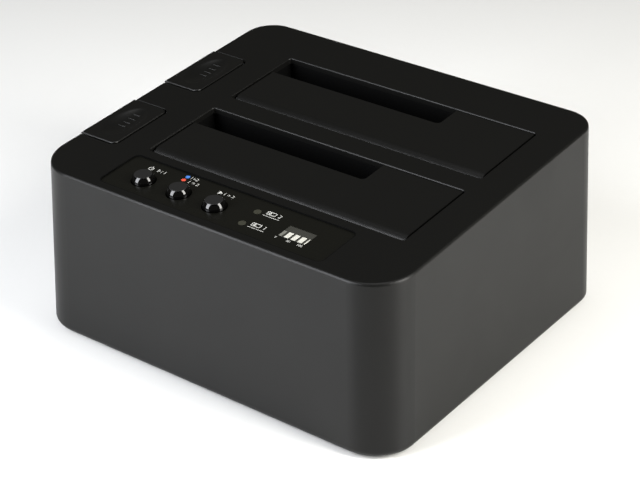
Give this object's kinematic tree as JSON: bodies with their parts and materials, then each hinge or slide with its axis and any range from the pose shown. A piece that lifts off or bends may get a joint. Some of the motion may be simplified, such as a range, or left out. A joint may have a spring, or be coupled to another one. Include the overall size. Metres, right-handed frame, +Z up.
{
  "type": "drive duplicator dock",
  "caption": "Desktop box with a sloping top that takes bare drives upright in flap-covered slots, with eject pads, a button panel and rear sockets.",
  "frame": {"origin": "centre of the footprint, on the surface that the feet stand on", "axes": "+X to the right, +Y to the rear, +Z up; the control panel is at the front, -Y"},
  "size_m": [0.1492, 0.1312, 0.0697],
  "materials": {
    "housing": "moulded black ABS, fine texture",
    "panel": "smooth dark overlay sheet",
    "button": "polished black plastic",
    "flap": "moulded black ABS, fine texture",
    "frame": "moulded black ABS",
    "rubber": "soft matte rubber",
    "steel": "bright steel",
    "board": "green solder mask on glass epoxy",
    "chip": "moulded epoxy",
    "socket": "black nylon",
    "contact": "gold-plated contacts",
    "aluminium": "extruded aluminium",
    "lens": "smoked clear plastic",
    "led": "clear epoxy",
    "cable": "grey ribbon insulation",
    "insulator": "blue nylon insulator"
  },
  "bodies": {
    "root": {"upper_housing": "housing", "base_plate": "housing", "rubber_feet": "rubber", "base_screws": "steel", "frame_screws": "steel", "main_board": "board", "board_screws": "steel", "sata_contacts": "contact", "usb_shell": "steel", "usb_insert": "insulator", "power_jack": "socket", "power_jack_pin": "steel", "controller_chips": "chip", "heat_sink": "aluminium", "capacitors": "aluminium", "inductors": "chip", "crystals": "steel", "control_board": "board", "control_board_screws": "steel", "tact_switches": "chip", "indicator_leds": "led", "board_headers": "socket", "ribbon_cable": "cable", "control_panel": "panel", "status_lenses": "lens", "progress_lens": "lens", "front_bay_frame": "frame", "front_sata_socket": "socket", "front_hinge_pin": "steel", "front_flap_spring": "steel", "front_pad_spring": "steel", "front_lever_pin": "steel", "rear_bay_frame": "frame", "rear_sata_socket": "socket", "rear_hinge_pin": "steel", "rear_flap_spring": "steel", "rear_pad_spring": "steel", "rear_lever_pin": "steel"},
    "front_flap": {"front_flap": "flap"},
    "front_eject_pad": {"front_eject_pad": "housing"},
    "front_eject_lever": {"front_eject_lever": "frame"},
    "rear_flap": {"rear_flap": "flap"},
    "rear_eject_pad": {"rear_eject_pad": "housing"},
    "rear_eject_lever": {"rear_eject_lever": "frame"},
    "power_button": {"power_button": "button", "power_plunger": "chip"},
    "mode_button": {"mode_button": "button", "mode_plunger": "chip"},
    "start_button": {"start_button": "button", "start_plunger": "chip"}
  },
  "joints": [
    {"name": "front_flap_hinge", "type": "hinge", "parent": "root", "child": "front_flap", "pos_m": [0, -0.03247, 0.06048], "axis": [-1, 0, 0], "range_deg": [0, 88], "stiffness_Nm_per_rad": 0.008, "springref_deg": -34.38, "deforming": ["front_flap_spring"]},
    {"name": "front_eject_slide", "type": "slide", "parent": "root", "child": "front_eject_pad", "axis": [0, 0, -1], "range_m": [0, 0.005], "stiffness_N_per_m": 700, "springref_m": -0.003, "deforming": ["front_pad_spring"]},
    {"name": "front_lever_pivot", "type": "hinge", "parent": "root", "child": "front_eject_lever", "pos_m": [-0.0525, -0.01996, 0.0144], "axis": [0, -1, 0], "range_deg": [0, 20.6]},
    {"name": "rear_flap_hinge", "type": "hinge", "parent": "root", "child": "rear_flap", "pos_m": [0, 0.01146, 0.06287], "axis": [-1, 0, 0], "range_deg": [0, 88], "stiffness_Nm_per_rad": 0.008, "springref_deg": -34.38, "deforming": ["rear_flap_spring"]},
    {"name": "rear_eject_slide", "type": "slide", "parent": "root", "child": "rear_eject_pad", "axis": [0, 0, -1], "range_m": [0, 0.005], "stiffness_N_per_m": 700, "springref_m": -0.003, "deforming": ["rear_pad_spring"]},
    {"name": "rear_lever_pivot", "type": "hinge", "parent": "root", "child": "rear_eject_lever", "pos_m": [-0.0525, 0.02397, 0.0144], "axis": [0, -1, 0], "range_deg": [0, 20.6]},
    {"name": "power_press", "type": "slide", "parent": "root", "child": "power_button", "axis": [0, 0.0543, -0.9985], "range_m": [0, 0.0008], "stiffness_N_per_m": 500, "springref_m": -0.0006},
    {"name": "mode_press", "type": "slide", "parent": "root", "child": "mode_button", "axis": [0, 0.0543, -0.9985], "range_m": [0, 0.0008], "stiffness_N_per_m": 500, "springref_m": -0.0006},
    {"name": "start_press", "type": "slide", "parent": "root", "child": "start_button", "axis": [0, 0.0543, -0.9985], "range_m": [0, 0.0008], "stiffness_N_per_m": 500, "springref_m": -0.0006}
  ],
  "couplings": [
    {"joint": "front_lever_pivot", "follows": "front_eject_slide", "rad_per_m": 71.558},
    {"joint": "rear_lever_pivot", "follows": "rear_eject_slide", "rad_per_m": 71.558}
  ]
}
